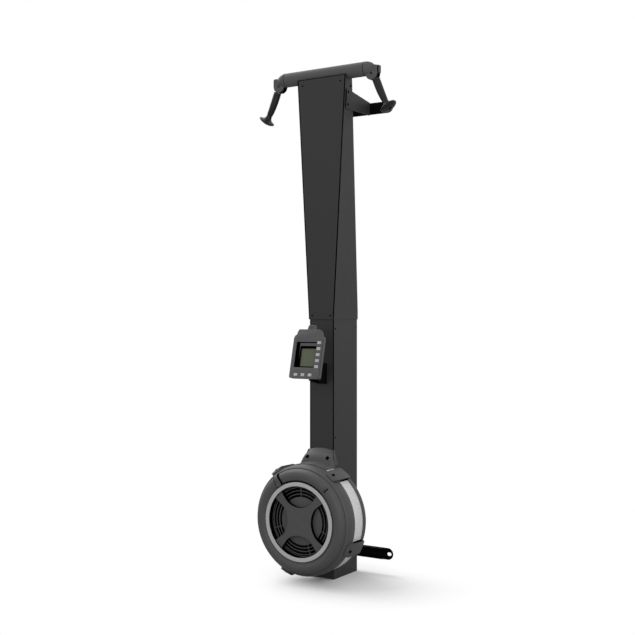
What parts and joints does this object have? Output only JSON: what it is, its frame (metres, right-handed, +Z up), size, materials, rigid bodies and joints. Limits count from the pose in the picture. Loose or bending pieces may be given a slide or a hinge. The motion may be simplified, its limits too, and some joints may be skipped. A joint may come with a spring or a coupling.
{
  "type": "ski ergometer",
  "caption": "Wall-mounted ski trainer: tall tapered column with crossbar, two corded pull handles, tilting monitor and a round fan housing at its foot.",
  "frame": {"origin": "middle of the column's foot, on the floor", "axes": "+X to the right of someone who faces the machine, +Y back to the wall, +Z up"},
  "size_m": [0.6804, 0.3963, 2.16],
  "materials": {
    "column_paint": "fine satin charcoal powder coat",
    "bracket_paint": "black powder coat",
    "housing_plastic": "finely grained dark grey moulding",
    "ring_grey": "smooth mid grey",
    "band_mesh": "perforated light grey sheet",
    "head_plastic": "satin grey moulding",
    "grip_rubber": "matt ribbed rubber",
    "monitor_case": "finely grained dark grey moulding",
    "display_glass": "grey-green reflective liquid-crystal glass",
    "button_grey": "soft light grey key",
    "steel": "bare turned steel",
    "nylon": "smooth dark nylon",
    "cord": "black braided cord",
    "board": "green solder mask"
  },
  "bodies": {
    "frame": {"lower_column": "column_paint", "upper_column": "column_paint", "upper_front_cover": "column_paint", "base_plate": "bracket_paint", "crossbar": "head_plastic", "left_gusset": "column_paint", "right_gusset": "column_paint", "top_wall_plate": "bracket_paint", "lower_wall_bracket": "bracket_paint", "neck_cover": "housing_plastic", "rear_shell": "housing_plastic", "front_shell": "housing_plastic", "mesh_band": "band_mesh", "clip_1": "housing_plastic", "clip_2": "housing_plastic", "clip_3": "housing_plastic", "clip_4": "housing_plastic", "trim_ring": "ring_grey", "hub_cover": "housing_plastic", "air_grille": "housing_plastic", "shaft_carrier": "bracket_paint", "front_bearing": "steel", "rear_bearing": "steel", "left_drive_cord": "cord", "right_drive_cord": "cord", "shock_cord": "cord", "idler_bracket": "bracket_paint", "monitor_arm": "bracket_paint", "monitor_pivot_pin": "steel"},
    "fan": {"flywheel": "nylon", "flywheel_shaft": "steel"},
    "left_drum_unit": {"left_drum": "nylon"},
    "right_drum_unit": {"right_drum": "nylon"},
    "idler": {"idler_pulley": "nylon"},
    "left_top_wheel": {"left_top_pulley": "nylon"},
    "right_top_wheel": {"right_top_pulley": "nylon"},
    "left_head": {"left_head_nose": "head_plastic", "left_head_cover": "head_plastic", "left_end_cord": "cord"},
    "right_head": {"right_head_nose": "head_plastic", "right_head_cover": "head_plastic", "right_end_cord": "cord"},
    "left_end_wheel": {"left_end_pulley": "nylon"},
    "right_end_wheel": {"right_end_pulley": "nylon"},
    "left_grip": {"left_handle": "grip_rubber"},
    "right_grip": {"right_handle": "grip_rubber"},
    "damper": {"damper_lever": "housing_plastic", "damper_shutter": "nylon"},
    "monitor": {"monitor_front_case": "monitor_case", "monitor_back_case": "monitor_case", "display": "display_glass", "circuit_board": "board"},
    "side_key_1": {"side_button_1": "button_grey"},
    "side_key_2": {"side_button_2": "button_grey"},
    "side_key_3": {"side_button_3": "button_grey"},
    "side_key_4": {"side_button_4": "button_grey"},
    "side_key_5": {"side_button_5": "button_grey"},
    "row_key_1": {"row_button_1": "button_grey"},
    "row_key_2": {"row_button_2": "button_grey"},
    "row_key_3": {"row_button_3": "button_grey"}
  },
  "joints": [
    {"name": "flywheel_spin", "type": "hinge", "parent": "frame", "child": "fan", "pos_m": [0, -0.2, 0.2646], "axis": [0, 1, 0], "continuous": true},
    {"name": "left_head_swivel", "type": "hinge", "parent": "frame", "child": "left_head", "pos_m": [-0.2, -0.06705, 2.13], "axis": [-1, 0, 0], "range_deg": [-5, 80]},
    {"name": "left_handle_pull", "type": "slide", "parent": "left_head", "child": "left_grip", "axis": [-0.4571, 0, -0.8894], "range_m": [0, 1.35], "stiffness_N_per_m": 15, "springref_m": -1},
    {"name": "left_end_wheel_spin", "type": "hinge", "parent": "left_head", "child": "left_end_wheel", "pos_m": [-0.2321, -0.06705, 2.1055], "axis": [0, 1, 0], "continuous": true},
    {"name": "left_top_wheel_spin", "type": "hinge", "parent": "frame", "child": "left_top_wheel", "pos_m": [-0.03, -0.06705, 2.114], "axis": [0, 1, 0], "continuous": true},
    {"name": "left_drum_spin", "type": "hinge", "parent": "frame", "child": "left_drum_unit", "pos_m": [0, -0.03975, 0.2646], "axis": [0, 1, 0], "continuous": true},
    {"name": "right_head_swivel", "type": "hinge", "parent": "frame", "child": "right_head", "pos_m": [0.2, -0.06705, 2.13], "axis": [-1, 0, 0], "range_deg": [-5, 80]},
    {"name": "right_handle_pull", "type": "slide", "parent": "right_head", "child": "right_grip", "axis": [0.4571, 0, -0.8894], "range_m": [0, 1.35], "stiffness_N_per_m": 15, "springref_m": -1},
    {"name": "right_end_wheel_spin", "type": "hinge", "parent": "right_head", "child": "right_end_wheel", "pos_m": [0.2321, -0.06705, 2.1055], "axis": [0, 1, 0], "continuous": true},
    {"name": "right_top_wheel_spin", "type": "hinge", "parent": "frame", "child": "right_top_wheel", "pos_m": [0.03, -0.06705, 2.114], "axis": [0, 1, 0], "continuous": true},
    {"name": "right_drum_spin", "type": "hinge", "parent": "frame", "child": "right_drum_unit", "pos_m": [0, 0.00825, 0.2646], "axis": [0, 1, 0], "continuous": true},
    {"name": "idler_spin", "type": "hinge", "parent": "frame", "child": "idler", "pos_m": [0, -0.01575, 1.7], "axis": [0, 1, 0], "continuous": true},
    {"name": "damper_turn", "type": "hinge", "parent": "frame", "child": "damper", "pos_m": [0, -0.23725, 0.2646], "axis": [0, 1, 0], "range_deg": [0, 72]},
    {"name": "monitor_tilt", "type": "hinge", "parent": "frame", "child": "monitor", "pos_m": [0, -0.18282, 0.89644], "axis": [1, 0, 0], "range_deg": [-10, 25]},
    {"name": "side_key_1_press", "type": "slide", "parent": "monitor", "child": "side_key_1", "axis": [0, 0.9724, -0.2334], "range_m": [0, 0.001], "stiffness_N_per_m": 150, "springref_m": -0.003},
    {"name": "side_key_2_press", "type": "slide", "parent": "monitor", "child": "side_key_2", "axis": [0, 0.9724, -0.2334], "range_m": [0, 0.001], "stiffness_N_per_m": 150, "springref_m": -0.003},
    {"name": "side_key_3_press", "type": "slide", "parent": "monitor", "child": "side_key_3", "axis": [0, 0.9724, -0.2334], "range_m": [0, 0.001], "stiffness_N_per_m": 150, "springref_m": -0.003},
    {"name": "side_key_4_press", "type": "slide", "parent": "monitor", "child": "side_key_4", "axis": [0, 0.9724, -0.2334], "range_m": [0, 0.001], "stiffness_N_per_m": 150, "springref_m": -0.003},
    {"name": "side_key_5_press", "type": "slide", "parent": "monitor", "child": "side_key_5", "axis": [0, 0.9724, -0.2334], "range_m": [0, 0.001], "stiffness_N_per_m": 150, "springref_m": -0.003},
    {"name": "row_key_1_press", "type": "slide", "parent": "monitor", "child": "row_key_1", "axis": [0, 0.9724, -0.2334], "range_m": [0, 0.001], "stiffness_N_per_m": 150, "springref_m": -0.003},
    {"name": "row_key_2_press", "type": "slide", "parent": "monitor", "child": "row_key_2", "axis": [0, 0.9724, -0.2334], "range_m": [0, 0.001], "stiffness_N_per_m": 150, "springref_m": -0.003},
    {"name": "row_key_3_press", "type": "slide", "parent": "monitor", "child": "row_key_3", "axis": [0, 0.9724, -0.2334], "range_m": [0, 0.001], "stiffness_N_per_m": 150, "springref_m": -0.003}
  ],
  "couplings": [
    {"joint": "left_end_wheel_spin", "follows": "left_handle_pull", "rad_per_m": -80},
    {"joint": "left_top_wheel_spin", "follows": "left_handle_pull", "rad_per_m": -62.5},
    {"joint": "left_drum_spin", "follows": "left_handle_pull", "rad_per_m": 32.468},
    {"joint": "right_end_wheel_spin", "follows": "right_handle_pull", "rad_per_m": 80},
    {"joint": "right_top_wheel_spin", "follows": "right_handle_pull", "rad_per_m": 62.5},
    {"joint": "right_drum_spin", "follows": "right_handle_pull", "rad_per_m": -32.468}
  ]
}
